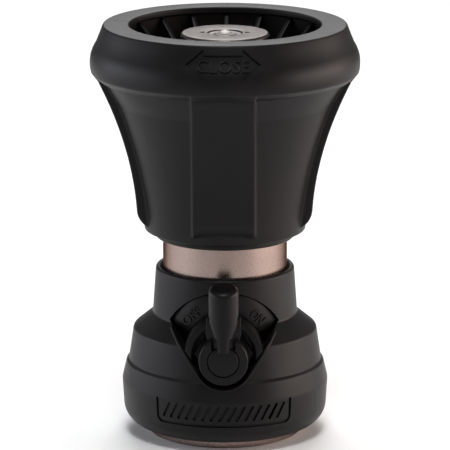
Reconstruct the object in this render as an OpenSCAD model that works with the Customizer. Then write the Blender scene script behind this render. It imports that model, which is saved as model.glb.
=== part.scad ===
// Hose spray nozzle of the fireman's pattern: a ball valve with a thumb lever in the base,
// a bare metal neck, and a twist head that slides along the neck as it turns.
// It stands on its hose inlet. +Z is the way the water leaves, and the lever faces -Y.

/* [Inlet] */
// Diameter of the 3/4 inch garden hose thread over its roots
inlet_d = 27.2; // [22:0.1:32]
// Depth of the hose thread, from the floor to the washer
inlet_depth = 10.5; // [8:0.5:14]
// Thickness of the hose washer
washer_t = 2.4; // [2:0.1:4]
// Wall between the hose thread and the outside of the connector's spigot
spigot_wall = 3.2; // [2.6:0.05:4.5]
// Height of the bare metal ring under the base cover
foot_ring_h = 2.2; // [1:0.1:3]

/* [Ball valve] */
// Diameter of the valve ball
ball_d = 23; // [18:0.5:28]
// Water way through the ball
ball_bore_d = 14; // [9:0.2:17]
// Diameter of the valve stem
stem_d = 8.8; // [7:0.2:11]
// Width across the flats of the stem's square end
stem_square = 6; // [4.5:0.1:7]

/* [Neck] */
// Outside diameter of the bare metal neck
neck_d = 35.2; // [30:0.2:44]
// Wall of the neck
neck_wall = 3.8; // [2.8:0.1:4.8]
// Bare neck between the base cover and the head
head_gap = 8.6; // [6.5:0.1:14]

/* [Lever] */
// From the pivot to the lever's end
lever_len = 21.5; // [17:0.1:25]
// Diameter of the lever's round hub
hub_d = 13.8; // [12:0.1:15]
// Width of the lever's thumb bar
arm_w = 8.4; // [6:0.1:10]
// Reach of the thumb bar's front from the seat of the dial
lever_reach = 13; // [12:0.1:16]
// Diameter of the cap over the lever's screw
cap_d = 8.5; // [7.4:0.1:9.5]

/* [Base cover] */
// Greatest diameter of the base cover
base_d = 58.6; // [52:0.5:72]
// Rubber over the metal at the belt
base_rubber = 4.6; // [3:0.1:6]
// Rubber over the neck at the collar's top
collar_rubber = 2; // [1.5:0.05:3]
// Radius of the window round the lever's pivot
window_r = 8.4; // [7:0.1:10.5]
// Radius of the window's upper arc
dial_r = 17.2; // [14:0.1:20.5]

/* [Head] */
// Greatest diameter of the head
head_d = 75.8; // [70:0.2:92]
// Length of the head
head_len = 60.7; // [50:0.2:75]
// Height of the bumper belt round the head's front
belt_h = 15.4; // [12:0.2:18]
// Width of the flat front rim
rim_w = 6.7; // [4:0.1:8]
// Rubber over the barrel at the skirt
skirt_rubber = 2.2; // [1.6:0.1:4]
// Width of each of the four grip pads
pad_w = 17.5; // [12:0.5:24]
// Height of a pad over the skirt
pad_rise = 2.1; // [1.2:0.1:3.2]
// Number of ribs in the mouth
rib_n = 18; // [8:1:24]
// Thickness of a rib
rib_t = 1.45; // [1:0.05:2]
// How far the head slides forward from rest until the water is shut off
shut_travel = 2; // [1:0.1:3]
// How far the head slides back from rest for the widest spray
spread_travel = 6; // [3:0.1:6.2]

/* [Spray disc] */
// Diameter of the disc in the mouth
disc_d = 25.1; // [20:0.1:31]
// Thickness of the disc
disc_t = 2.6; // [2:0.1:4]
// Depth of the disc's face below the rim
disc_drop = 2.5; // [1:0.1:5]

/* [Hidden] */
$fn = 72;

fit_gap = 0.05;      // pieces that are screwed, pressed or moulded together
slide_gap = 0.3;     // pieces that slide or turn past each other
running_gap = 0.08;  // guide ring on the neck
seat_gap = 0.1;      // ball to its seats
o_ring_t = 1.8;      // section of every O-ring
groove_w = 2.3;      // width of an O-ring groove

black = [0.09, 0.09, 0.1];
champagne = [0.67, 0.57, 0.53];
steel = [0.75, 0.74, 0.72];
brass = [0.8, 0.66, 0.36];
white = [0.92, 0.92, 0.9];

// Inlet, from the floor up
inlet_r = inlet_d / 2;
inlet_chamfer = 0.6;
washer_floor = 3.2;
spigot_groove = 4.6; // from the spigot's end down to its O-ring groove
spigot_r = inlet_r + spigot_wall;
spigot_top = inlet_depth + washer_t + washer_floor;
flange_h = foot_ring_h + 1.2;
washer_r = inlet_r - 0.65;
waterway_r = 7.5;

// Ball valve, whose lower seat rests on the spigot
ball_r = ball_d / 2;
seat_span = ball_r - 0.2;
seat_inner_z = 6;
chamber_r = ball_r + 1.5;
ball_z = spigot_top + seat_span;
ball_turn = 45;      // at rest the lever is midway, so the ball stands half open
slot_w = 3.4;
slot_l = 8;

// Neck
neck_r = neck_d / 2;
neck_bore_r = neck_r - neck_wall;

// Stem, measured outwards from the axis
stem_r = stem_d / 2;
stem_flange_r = stem_r + 1.2;
stem_flange_y = chamber_r + 0.25;
stem_flange_t = 1.15;
gland_r = stem_flange_r + 1.3;
gland_y = stem_flange_y + stem_flange_t + 0.1;
pocket_y = max(neck_r, gland_y + 3.5);
dial_base_t = 1.15;
gland_flange_y = pocket_y + dial_base_t + fit_gap;
gland_flange_t = 2;
gland_flange_r = gland_r + 1.3;
hub_y = gland_flange_y + gland_flange_t + 0.4;
screw_head_r = 3.1;
screw_head_t = 2;
screw_r = 1.8;

// Base cover and the metal under it
base_r = base_d / 2;
body_base_r = base_r - base_rubber;
flange_r = body_base_r - 2.7;
belt_z = ball_z - 12.4;
crease_z = ball_z - 6.4;
cone_top_z = ball_z + 2.6;
collar_z = ball_z + 7.2;
collar_top = ball_z + 20.5;
body_cone_z = ball_z + 2.1;
neck_low_z = ball_z + 6.6;
cone_top_r = base_r - 3.25;
crease_r = base_r - 1.85;
collar_r = neck_r + collar_rubber + 0.9;
collar_round = 0.8;
collar_slope = 0.7;  // fall of the collar's top towards the neck
foot_round = 6;      // round at the cover's foot
lining_t = 1.15;     // rubber that lines the pocket behind the window
window_tilt = 34;    // slope of the window's sides from upright

// Dial
dial_face_r = neck_r + collar_rubber - 0.1;
dial_low_z = 6.7;    // above the pivot, where the dial's face ends
arch_in_r = window_r + 0.5;
arch_out_r = arch_in_r + 2.1;
arch_y = pocket_y + 6.4;

// Lever
hub_r = hub_d / 2;
cap_r = cap_d / 2;
arm_r = arm_w / 2;
arm_front_y = pocket_y + lever_reach;
arm_back_y = pocket_y + 4.9;
arm_low_back_y = arch_y + 0.6;
hub_front_y = arm_front_y - 0.8;
square_end_y = hub_front_y - 3.6;
arm_step = arch_out_r + 1;
arm_waist = 4.6;
arm_foot = 3.2;

// Head, from its lower edge
head_z = collar_top + head_gap;
rim_z = head_z + head_len;
head_r = head_d / 2;
belt_low_z = rim_z - belt_h;
belt_low_r = head_r - 2.6;
shoulder_r = head_r - 3.6;
belt_slope_r = head_r - 1.7;
belt_slope_z = rim_z - 5.2;
rim_r = head_r - 3.8;
rim_round = 0.5;
mouth_r = rim_r - rim_round - rim_w;
lip_h = 1.8;
guide_h = 3;
bore_r = neck_r + slide_gap;
guide_r = bore_r + 1.3;
lip_r = guide_r + 0.45;
barrel_r = guide_r + 1.35;
skirt_r = barrel_r + skirt_rubber;
pad_r = skirt_r + pad_rise;
pad_crown = 120;     // added to a pad's radius to make its face nearly flat
pad_foot = 7.3;      // height of the round at a pad's lower end
barrel_z = head_z + lip_h;

// Spray disc
disc_r = disc_d / 2;
disc_top = rim_z - disc_drop;
disc_low = disc_top - disc_t;
seal_t = 0.7;
seal_r = disc_r - 1.3;
seal_bore_r = 7.1;

// Nozzle and mouth, from the disc back
nozzle_top = disc_low - seal_t - 2 * fit_gap - shut_travel - 0.05;
orifice_r = seal_r - 1.65;
nozzle_r = disc_r + 1.65;
mouth_wall_r = mouth_r + 1.6;
rim_t = 1.8;
mouth_floor = rim_z - 16.6;
flange_top = mouth_floor - 2.5;
barrel_flange_r = mouth_r + 0.1;
throat_z = flange_top - 9;
neck_top = throat_z - spread_travel - 1;
collar_len = 6;
shoulder_z = neck_top - collar_len - shut_travel - slide_gap;
relief_r = bore_r + 1.2;
thread_collar_r = relief_r - slide_gap;
o_ring_z = (barrel_z + guide_h + shoulder_z) / 2;

// What carries the spray disc
rod_r = 3;
rod_low = neck_top - 15;
spider_h = 8;
spider_top = neck_top - 2;
spider_hub_r = 5.5;
spanner_hole_r = 0.8;
spanner_r = disc_r / 2;

// Points of an arc from angle a to angle b, n steps
function arc(cx, cy, r, a, b, n = 6) =
    [for (i = [0:n]) let (t = a + (b - a) * i / n) [cx + r * cos(t), cy + r * sin(t)]];

// Points of a flare from r0 at z0 to r1 at z1 that starts off at slope s
function flare(r0, z0, r1, z1, s = 0, n = 9) = let (dz = z1 - z0, dr = r1 - r0)
    [for (i = [0:n]) let (t = i / n) [r0 + s * dz * t + (dr - s * dz) * t * t, z0 + dz * t]];

module ring(r_in, r_out, z_low, z_high) {
    rotate_extrude() translate([r_in, z_low]) square([r_out - r_in, z_high - z_low]);
}

// A cylinder along -Y through the ball's centre, from y_in to y_out off the axis
module stem_cylinder(r, y_in, y_out) {
    translate([0, -y_in, ball_z]) rotate([90, 0, 0]) cylinder(r = r, h = y_out - y_in);
}

// An outline drawn about the pivot, seen from the front, made solid from y_in to y_out
module front_prism(y_in, y_out) {
    translate([0, -y_in, ball_z]) rotate([90, 0, 0]) linear_extrude(y_out - y_in) children();
}

module o_ring(r_mid) {
    rotate_extrude() translate([r_mid, 0]) circle(d = o_ring_t);
}

// Ferrule that the hose screws into, and the bare ring that the nozzle stands on
module inlet_connector() {
    color(champagne) difference() {
        rotate_extrude() polygon([
            [inlet_r + inlet_chamfer + 0.3, 0], [flange_r - 0.6, 0], [flange_r, 0.6],
            [flange_r, flange_h], [spigot_r, flange_h], [spigot_r, spigot_top - fit_gap],
            [waterway_r, spigot_top - fit_gap], [waterway_r, spigot_top - washer_floor],
            [washer_r, spigot_top - washer_floor], [washer_r, inlet_depth],
            [inlet_r, inlet_depth], [inlet_r, inlet_chamfer]]);
        ring(spigot_r - o_ring_t, spigot_r + 1, spigot_top - spigot_groove,
            spigot_top - spigot_groove + groove_w);
    }
}

module hose_washer() {
    color(black) ring(waterway_r + 0.5, washer_r - fit_gap,
        inlet_depth + fit_gap, spigot_top - washer_floor - fit_gap);
}

module connector_o_ring() {
    color(black) translate([0, 0, spigot_top - spigot_groove + groove_w / 2])
        o_ring(spigot_r - o_ring_t / 2 + 0.02);
}

// The window through the base cover, as seen from the front about the pivot
module window_outline(gap = 0) {
    r = window_r - gap;
    t = (r - 0.06) * [cos(window_tilt), -sin(window_tilt)];
    f = 40 * [sin(window_tilt), cos(window_tilt)];
    circle(r = r);
    intersection() {
        circle(r = dial_r - gap);
        polygon([[-t[0], t[1]], t, t + f, [-t[0] - f[0], t[1] + f[1]]]);
    }
}

// Cast body: socket for the connector, ball chamber, and the neck
module valve_body() {
    color(champagne) difference() {
        rotate_extrude() polygon([
            [spigot_r + fit_gap, flange_h + fit_gap], [body_base_r, flange_h + fit_gap],
            [body_base_r, belt_z], [body_base_r - 1.2, crease_z], [body_base_r - 2.6, body_cone_z],
            [neck_r, neck_low_z], [neck_r, neck_top - 0.6], [neck_r - 0.6, neck_top],
            [neck_bore_r, neck_top], [neck_bore_r, ball_z + seat_span + 9.5],
            [waterway_r, ball_z + seat_span + 3], [waterway_r, ball_z + seat_span],
            [chamber_r, ball_z + seat_span], [chamber_r, spigot_top],
            [spigot_r + fit_gap, spigot_top]]);
        front_prism(pocket_y, base_r) window_outline(-lining_t - fit_gap);
        stem_cylinder(stem_flange_r + 0.1, chamber_r - 4, gland_y + 1);
        stem_cylinder(gland_r + fit_gap, gland_y, base_r);
    }
}

module ball_seat(side) {
    color(white) translate([0, 0, ball_z]) scale([1, 1, side]) difference() {
        ring(waterway_r, chamber_r - fit_gap, seat_inner_z, seat_span - fit_gap);
        sphere(r = ball_r + seat_gap);
    }
}

module lower_ball_seat() {
    ball_seat(-1);
}

module upper_ball_seat() {
    ball_seat(1);
}

// Bored ball, with the slot that the stem's tang drives
module valve_ball() {
    color(steel) translate([0, 0, ball_z]) rotate([0, -ball_turn, 0]) difference() {
        sphere(r = ball_r);
        cylinder(d = ball_bore_d, h = ball_d * 2, center = true);
        translate([-slot_l / 2, -ball_r - 1, -slot_w / 2]) cube([slot_l, 3.6, slot_w]);
    }
}

module valve_stem() {
    color(brass) difference() {
        union() {
            intersection() {
                translate([0, 0, ball_z]) rotate([0, -ball_turn, 0])
                    translate([-slot_l / 2 + 0.2, -stem_flange_y - 0.1, -slot_w / 2 + 0.15])
                    cube([slot_l - 0.4, stem_flange_y + 0.1 - (ball_r - 2.3), slot_w - 0.3]);
                stem_cylinder(stem_flange_r, 0, base_r);
            }
            stem_cylinder(stem_flange_r, stem_flange_y, stem_flange_y + stem_flange_t);
            stem_cylinder(stem_r, stem_flange_y + stem_flange_t - 0.1, hub_y - 0.2);
            front_prism(hub_y - 0.3, square_end_y) square(stem_square, center = true);
        }
        for (y = stem_o_ring_places()) stem_groove(y);
        stem_cylinder(screw_r + fit_gap, square_end_y - 6.5, square_end_y + 1);
    }
}

function stem_o_ring_places() = [gland_y + 1.9, gland_y + 4.6];

module stem_groove(y) {
    difference() {
        stem_cylinder(stem_r + 1, y - groove_w / 2 + 0.2, y + groove_w / 2 - 0.2);
        stem_cylinder(stem_r - 1.25, y - groove_w, y + groove_w);
    }
}

module stem_o_rings() {
    color(black) for (y = stem_o_ring_places())
        translate([0, -y, ball_z]) rotate([90, 0, 0])
            rotate_extrude() translate([stem_r - 0.6, 0]) circle(r = 0.6);
}

// Nut that keeps the stem in and clamps the dial plate
module stem_gland_nut() {
    color(brass) difference() {
        union() {
            stem_cylinder(gland_r, gland_y, gland_flange_y);
            translate([0, -gland_flange_y, ball_z]) rotate([90, 0, 0])
                cylinder(r = gland_flange_r, h = gland_flange_t, $fn = 6);
        }
        stem_cylinder(stem_r + fit_gap, 0, base_r);
    }
}

// Black fan-shaped dial behind the lever, with an arch round the lever's hub
module dial_plate() {
    color(black) difference() {
        intersection() {
            union() {
                intersection() {
                    ring(neck_r + fit_gap, dial_face_r, ball_z + dial_low_z, collar_top);
                    translate([-base_r, -base_r, 0]) cube([base_d, base_r, collar_top]);
                }
                front_prism(pocket_y + fit_gap, pocket_y + dial_base_t)
                    translate([-base_r, -base_r]) square([base_d, base_r + 5]);
                difference() {
                    stem_cylinder(arch_out_r, pocket_y + fit_gap, arch_y);
                    stem_cylinder(arch_in_r, pocket_y, arch_y + 1);
                }
            }
            front_prism(0, base_r) window_outline(0.3);
        }
        stem_cylinder(gland_r + 0.15, 0, base_r);
        stem_cylinder(arch_in_r, pocket_y + dial_base_t, base_r);
        ring(0, neck_r + fit_gap, neck_low_z - 1, collar_top);
    }
}

// Outline of the rubber base cover, from its lower lip up to the collar
function cover_outline() = concat(
    [[flange_r + 0.15, foot_ring_h], [base_r - foot_round - 0.4, foot_ring_h]],
    arc(base_r - foot_round - 0.4, foot_ring_h + foot_round, foot_round, -80, -5, 6),
    [[base_r, belt_z], [crease_r + 0.55, crease_z - 0.9], [crease_r, crease_z],
     [cone_top_r, cone_top_z], [collar_r + 0.1, collar_z], [collar_r, collar_z + 0.5]],
    arc(neck_r + collar_rubber - collar_round, collar_top - collar_round, collar_round, 0, 90, 4));

// What the cover's lining is kept within: a little more than the metal's outside
function lining_outline() = [
    [0, flange_h], [body_base_r + 1, flange_h], [body_base_r + 1, belt_z], [body_base_r - 0.2, crease_z],
    [body_base_r - 1.6, body_cone_z], [neck_r + 1, neck_low_z + 0.5], [neck_r + 1, collar_top - 1.2],
    [0, collar_top - 1.2]];

module base_cover() {
    color(black) difference() {
        union() {
            cover_shell();
            intersection() {
                front_prism(pocket_y + fit_gap, base_r) window_outline(-lining_t);
                rotate_extrude() polygon(lining_outline());
            }
        }
        front_prism(4, base_r + 1) window_outline();
        cover_frame();
    }
}

module cover_shell() {
    rotate_extrude() polygon(concat(cover_outline(), [
        [neck_r + fit_gap, collar_top - collar_slope], [neck_r + fit_gap, neck_low_z + fit_gap],
        [body_base_r - 2.6 + fit_gap, body_cone_z + fit_gap],
        [body_base_r - 1.2 + fit_gap, crease_z], [body_base_r + fit_gap, belt_z],
        [body_base_r + fit_gap, flange_h], [flange_r + 0.15, flange_h]]));
}

// Sunken frame round the plain grip panel on the belt
module cover_frame() {
    frame_a = 39.4;
    groove = 0.7;
    depth = 0.6;
    low = foot_ring_h + 5.85;
    high = belt_z + 0.2;
    rotate([0, 0, -90 - frame_a]) rotate_extrude(angle = 2 * frame_a)
        translate([base_r - 0.45 - depth, low]) square([depth + 2, groove]);
    for (side = [-1, 1]) rotate([0, 0, -90 + side * frame_a])
        translate([base_r - 0.35 - depth, -groove / 2, low]) cube([depth + 2, groove, high - low]);
}

// Multi-start thread ring on the neck, drawn at its crests, and the head's forward stop
module thread_collar() {
    color(brass) ring(neck_r + fit_gap, thread_collar_r, neck_top - collar_len, neck_top - 0.8);
}

// Three-armed carrier of the spray stem, pressed into the neck
module stem_spider() {
    arm_t = 2.4;
    color(brass) difference() {
        union() {
            ring(neck_bore_r - 1.6, neck_bore_r - fit_gap, spider_top - spider_h, spider_top);
            translate([0, 0, spider_top - spider_h]) cylinder(r = spider_hub_r, h = spider_h);
            for (a = [0:120:240]) rotate([0, 0, a])
                translate([spider_hub_r - 1, -arm_t / 2, spider_top - spider_h])
                cube([neck_bore_r - spider_hub_r - 0.2, arm_t, spider_h]);
        }
        translate([0, 0, spider_top - spider_h - 1]) cylinder(r = rod_r + fit_gap, h = spider_h + 2);
    }
}

module spray_stem() {
    color(brass) union() {
        translate([0, 0, rod_low]) cylinder(r = rod_r, h = disc_low - 5 - rod_low);
        translate([0, 0, spider_top + fit_gap]) cylinder(r = rod_r + 1.4, h = 2);
        translate([0, 0, disc_low - 5.1]) cylinder(r = rod_r - 0.7, h = disc_top - disc_low + 5);
        intersection() {
            translate([0, 0, disc_top - 2.9]) sphere(r = 3.5);
            translate([0, 0, disc_top - 0.45]) cylinder(r = rod_r, h = 2);
        }
    }
}

module stem_lock_nut() {
    color(steel) translate([0, 0, spider_top - spider_h - fit_gap - 3]) difference() {
        cylinder(r = 5.5, h = 3, $fn = 6);
        translate([0, 0, -1]) cylinder(r = rod_r + fit_gap, h = 5);
    }
}

// Turned disc that spreads the water, with two spanner holes and a dished centre
module spray_disc() {
    cone_r = 7;
    dish_r = 5;
    color(steel) difference() {
        rotate_extrude() polygon([
            [rod_r - 0.65, disc_low - 5], [rod_r + 0.4, disc_low - 5], [cone_r, disc_low],
            [disc_r - 1.2, disc_low], [disc_r, disc_low + 1], [disc_r, disc_top - 0.55],
            [disc_r - 0.55, disc_top], [dish_r, disc_top], [dish_r - 0.6, disc_top - 0.5],
            [rod_r - 0.65, disc_top - 0.5]]);
        for (side = [-1, 1]) translate([side * spanner_r, 0, disc_top - 1.6])
            cylinder(r = spanner_hole_r, h = 3, $fn = 24);
    }
}

// Flat rubber ring under the disc, which the nozzle's lip closes on
module disc_seal() {
    color(black) ring(seal_bore_r, seal_r, disc_low - seal_t - fit_gap, disc_low - fit_gap);
}

// The lever as seen from the front: hub, and an arm that swells into the thumb bar
module arm_outline(w_low, w_high, z_low) {
    polygon([[-w_low / 2, z_low], [w_low / 2, z_low], [w_high / 2, lever_len * 0.56],
        [w_high / 2, lever_len], [-w_high / 2, lever_len], [-w_high / 2, lever_len * 0.56]]);
}

module control_lever() {
    color(black) difference() {
        union() {
            stem_cylinder(hub_r, hub_y, hub_front_y);
            // base web
            front_prism(arm_low_back_y, hub_front_y - 0.6) arm_outline(10.6, arm_w, arm_foot);
            // raised thumb bar, round in front and cut back where it passes over the dial's arch
            difference() {
                intersection() {
                    union() {
                        translate([0, -arm_front_y + arm_r, ball_z]) cylinder(r = arm_r, h = lever_len);
                        translate([-arm_r, -arm_front_y + arm_r, ball_z])
                            cube([arm_w, arm_front_y - arm_r - arm_back_y, lever_len]);
                    }
                    front_prism(arm_back_y, arm_front_y + 1) arm_outline(arm_waist, arm_w, arm_foot);
                }
                stem_cylinder(arm_step, 0, arm_low_back_y);
            }
        }
        stem_cylinder(cap_r + 0.1, square_end_y + 0.15, arm_front_y + 1);
        front_prism(hub_y - 1, square_end_y + 1) square(stem_square + 2 * fit_gap, center = true);
    }
}

module lever_screw() {
    color(steel) difference() {
        union() {
            stem_cylinder(screw_r, square_end_y - 6, square_end_y + 0.3);
            stem_cylinder(screw_head_r, square_end_y + 0.2, square_end_y + screw_head_t);
        }
        front_prism(square_end_y + 1, arm_front_y) square([1, 3.6], center = true);
        front_prism(square_end_y + 1, arm_front_y) square([3.6, 1], center = true);
    }
}

module lever_cap() {
    color(black) difference() {
        stem_cylinder(cap_r, square_end_y + 0.3, hub_front_y + 0.25);
        stem_cylinder(screw_head_r + 0.25, square_end_y, hub_front_y + 0.25 - 1);
    }
}

// Black guide ring in the head's lower end: it slides with the head and doesn't turn
module guide_ring() {
    color(black) rotate_extrude() polygon([
        [neck_r + running_gap, head_z], [lip_r - 0.5, head_z], [lip_r, head_z + 0.5],
        [lip_r, barrel_z - slide_gap],
        [guide_r - slide_gap, barrel_z - slide_gap], [guide_r - slide_gap, barrel_z + guide_h - slide_gap],
        [neck_r + running_gap, barrel_z + guide_h - slide_gap]]);
}

// Outside of the barrel, grown by g, from its lower end to the nozzle
function barrel_outline(g) = [
    [barrel_r + g, barrel_z], [barrel_r + g, shoulder_z + 5],
    [barrel_flange_r - 2.5 + g, flange_top - 5 - g], [barrel_flange_r + g, flange_top - 3.5 - g],
    [barrel_flange_r + g, flange_top + g], [nozzle_r + g, flange_top + g]];

module head_barrel() {
    color(champagne) difference() {
        rotate_extrude() polygon(concat(barrel_outline(0), [
            [nozzle_r, nozzle_top - 3], [orifice_r + 1.5, nozzle_top], [orifice_r + 0.4, nozzle_top],
            [orifice_r, nozzle_top - 1], [orifice_r, nozzle_top - 3],
            [orifice_r + 1, flange_top - 1], [relief_r - 1, throat_z + 1],
            [relief_r, throat_z], [relief_r, shoulder_z],
            [bore_r, shoulder_z], [bore_r, barrel_z + guide_h], [guide_r, barrel_z + guide_h],
            [guide_r, barrel_z]]));
        ring(bore_r - 1, neck_r + o_ring_t + 0.05, o_ring_z - groove_w / 2, o_ring_z + groove_w / 2);
    }
}

module head_o_ring() {
    color(black) translate([0, 0, o_ring_z]) o_ring(neck_r + o_ring_t / 2 + 0.03);
}

// Outside of the rubber head: the skirt, the shoulder, the belt and the rim
skirt_break_z = belt_low_z - 5.6;
skirt_break_r = shoulder_r - 3.3;

function belt_outline() = concat(
    [[shoulder_r, belt_low_z + 0.1], [belt_low_r, belt_low_z + 0.3],
        [head_r - 0.3, belt_low_z + 2.1], [head_r, belt_low_z + 3.2]],
    flare(head_r, belt_low_z + 4.4, belt_slope_r, belt_slope_z, 0, 4),
    arc(rim_r - 0.3, rim_z - rim_round, rim_round, 26, 90, 4));

function skirt_outline() = concat(
    [[0, barrel_z + 0.2], [skirt_r - 0.7, barrel_z + 0.2], [skirt_r - 0.1, barrel_z + 0.7]],
    flare(skirt_r + 0.1, barrel_z + 0.9, skirt_break_r, skirt_break_z, 0.07, 8),
    belt_outline(), [[0, rim_z]]);

function pad_outline() = concat(
    [[0, barrel_z + 0.2]],
    arc(pad_r - 6, barrel_z + pad_foot, 6, -57, -6, 5),
    flare(pad_r, barrel_z + pad_foot + 0.1, belt_low_r, belt_low_z + 0.2, 0.076, 8),
    [[belt_low_r - 2, belt_low_z + 2], [0, belt_low_z + 2]]);

module grip_pad() {
    intersection() {
        translate([-pad_crown, 0, 0]) rotate_extrude()
            polygon([for (p = pad_outline()) [p[0] + pad_crown, p[1]]]);
        translate([barrel_r - 2, -pad_w / 2, barrel_z]) cube([head_r, pad_w, head_len]);
    }
}

// Triangular web between the mouth's wall and floor
module mouth_rib() {
    translate([0, rib_t / 2, 0]) rotate([90, 0, 0]) linear_extrude(rib_t) polygon([
        [mouth_wall_r + 1, rim_z - rim_t - 0.2], [mouth_wall_r - 0.1, rim_z - rim_t - 0.1],
        [nozzle_r + 0.9, mouth_floor + 0.7], [nozzle_r + 0.9, mouth_floor - 0.5],
        [mouth_wall_r + 1, mouth_floor - 0.5]]);
}

module head_cover() {
    color(black) union() {
        difference() {
            union() {
                rotate_extrude() polygon(skirt_outline());
                for (a = [0:90:270]) rotate([0, 0, a]) grip_pad();
            }
            rotate_extrude() polygon(concat([[0, barrel_z - 5], [barrel_r + fit_gap, barrel_z - 5]],
                barrel_outline(fit_gap), [[nozzle_r + fit_gap, mouth_floor - 0.4],
                [nozzle_r + fit_gap + 0.4, mouth_floor], [mouth_wall_r, mouth_floor],
                [mouth_wall_r, rim_z - rim_t], [mouth_r, rim_z - rim_t + 0.3],
                [mouth_r, rim_z - 0.4], [mouth_r + 0.4, rim_z + 0.01], [0, rim_z + 0.01]]));
            arrow_pocket();
        }
        for (i = [0:rib_n - 1]) rotate([0, 0, 90 + i * 360 / rib_n]) mouth_rib();
    }
}

// Shallow double-headed arrow sunk into the belt over the lever
module arrow_pocket() {
    tip = 10.2;
    neck = 5.4;
    bar = 2.6;
    head = 4;
    depth = 0.5;
    intersection() {
        translate([0, 0, belt_slope_z]) rotate([90, 0, 0]) linear_extrude(head_r + 2) polygon([
            [-tip, 0], [-neck, head], [-neck, bar], [neck, bar], [neck, head],
            [tip, 0], [neck, -head], [neck, -bar], [-neck, -bar], [-neck, -head]]);
        difference() {
            ring(head_r - 12, head_r + 2, belt_low_z + 3, rim_z - 0.5);
            rotate_extrude() polygon(concat([[0, belt_low_z]],
                [for (p = belt_outline()) [p[0] - depth, p[1]]], [[0, rim_z]]));
        }
    }
}

inlet_connector();
hose_washer();
connector_o_ring();
valve_body();
lower_ball_seat();
upper_ball_seat();
stem_gland_nut();
dial_plate();
base_cover();
thread_collar();
stem_spider();
spray_stem();
stem_lock_nut();
spray_disc();
disc_seal();
valve_ball();
valve_stem();
stem_o_rings();
control_lever();
lever_screw();
lever_cap();
guide_ring();
head_barrel();
head_cover();
head_o_ring();
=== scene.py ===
from math import acos, atan2, cos, hypot, pi, radians, sin, sqrt

import bmesh
import bpy
from mathutils import Matrix, Vector


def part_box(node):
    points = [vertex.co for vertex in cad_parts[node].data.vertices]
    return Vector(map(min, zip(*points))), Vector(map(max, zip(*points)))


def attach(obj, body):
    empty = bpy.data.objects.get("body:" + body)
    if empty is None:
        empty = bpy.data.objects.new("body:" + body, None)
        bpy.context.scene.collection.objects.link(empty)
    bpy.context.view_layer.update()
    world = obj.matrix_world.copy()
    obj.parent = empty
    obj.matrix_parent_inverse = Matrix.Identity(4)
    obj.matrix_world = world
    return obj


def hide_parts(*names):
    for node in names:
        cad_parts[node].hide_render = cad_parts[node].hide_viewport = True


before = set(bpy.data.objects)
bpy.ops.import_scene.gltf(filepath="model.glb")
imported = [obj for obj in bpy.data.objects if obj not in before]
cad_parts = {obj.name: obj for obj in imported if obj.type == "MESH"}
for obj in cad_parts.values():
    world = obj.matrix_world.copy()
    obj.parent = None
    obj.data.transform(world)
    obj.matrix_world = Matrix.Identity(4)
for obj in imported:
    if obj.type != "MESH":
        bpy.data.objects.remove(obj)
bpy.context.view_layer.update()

MM = 0.001


# ---------------------------------------------------------------------------------------------
# Head cover: the flared bumper that is gripped and turned to set the spray.
# It is a thermoplastic elastomer moulded over the barrel, with four flat pads for the fingers,
# a thick belt round the front, and a cup-shaped mouth.

def linear(hex_code):
    """The linear colour of an sRGB hex code, with alpha."""
    parts = [int(hex_code[i:i + 2], 16) / 255 for i in (1, 3, 5)]
    return [c / 12.92 if c < 0.04045 else ((c + 0.055) / 1.055) ** 2.4 for c in parts] + [1.0]


def add(tree, kind, inputs=None, **settings):
    """Adds a node. An input is given a value, or another node's output to link."""
    made = tree.nodes.new(kind)
    for key, value in settings.items():
        setattr(made, key, value)
    for key, value in (inputs or {}).items():
        if isinstance(value, bpy.types.NodeSocket):
            tree.links.new(value, made.inputs[key])
        else:
            made.inputs[key].default_value = value
    return made


def moulded(name, dark, light, roughness, grain_mm, grain_depth_mm):
    """A moulded plastic or rubber: the tool's fine grain, faint cloudy marks, uneven gloss."""
    material = bpy.data.materials.new(name)
    material.use_nodes = True
    tree = material.node_tree
    tree.nodes.clear()
    place = add(tree, "ShaderNodeTexCoord").outputs["Object"]
    clouds = add(tree, "ShaderNodeTexNoise",
                 {"Vector": place, "Scale": 1 / (14 * MM), "Detail": 4.0, "Roughness": 0.55})
    grain = add(tree, "ShaderNodeTexNoise",
                {"Vector": place, "Scale": 1 / (grain_mm * MM), "Detail": 2.0, "Roughness": 0.6})
    colour = add(tree, "ShaderNodeValToRGB", {"Fac": clouds.outputs["Fac"]})
    colour.color_ramp.elements[0].position = 0.35
    colour.color_ramp.elements[0].color = linear(dark)
    colour.color_ramp.elements[1].position = 0.75
    colour.color_ramp.elements[1].color = linear(light)
    gloss = add(tree, "ShaderNodeMapRange", {
        "Value": clouds.outputs["Fac"], "From Min": 0.3, "From Max": 0.7,
        "To Min": roughness - 0.04, "To Max": roughness + 0.05})
    relief = add(tree, "ShaderNodeBump", {
        "Height": grain.outputs["Fac"], "Strength": 1.0, "Distance": grain_depth_mm * MM})
    shader = add(tree, "ShaderNodeBsdfPrincipled", {
        "Base Color": colour.outputs["Color"], "Roughness": gloss.outputs["Result"],
        "IOR": 1.3, "Normal": relief.outputs["Normal"]})
    add(tree, "ShaderNodeOutputMaterial", {"Surface": shader.outputs["BSDF"]})
    return material


# Soft black elastomer straight from a finely grained tool: a broad, soft sheen.
# Its grain, about 0.15 mm, is drawn as coarse as it needs to show.
elastomer = moulded("black elastomer, moulded", "#0e0d0e", "#151314", 0.46, 0.45, 0.01)


def keep_edges(obj, angle=32):
    """Shades a piece smooth except across its real edges."""
    obj.data.shade_smooth()
    obj.data.set_sharp_from_angle(angle=radians(angle))


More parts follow.
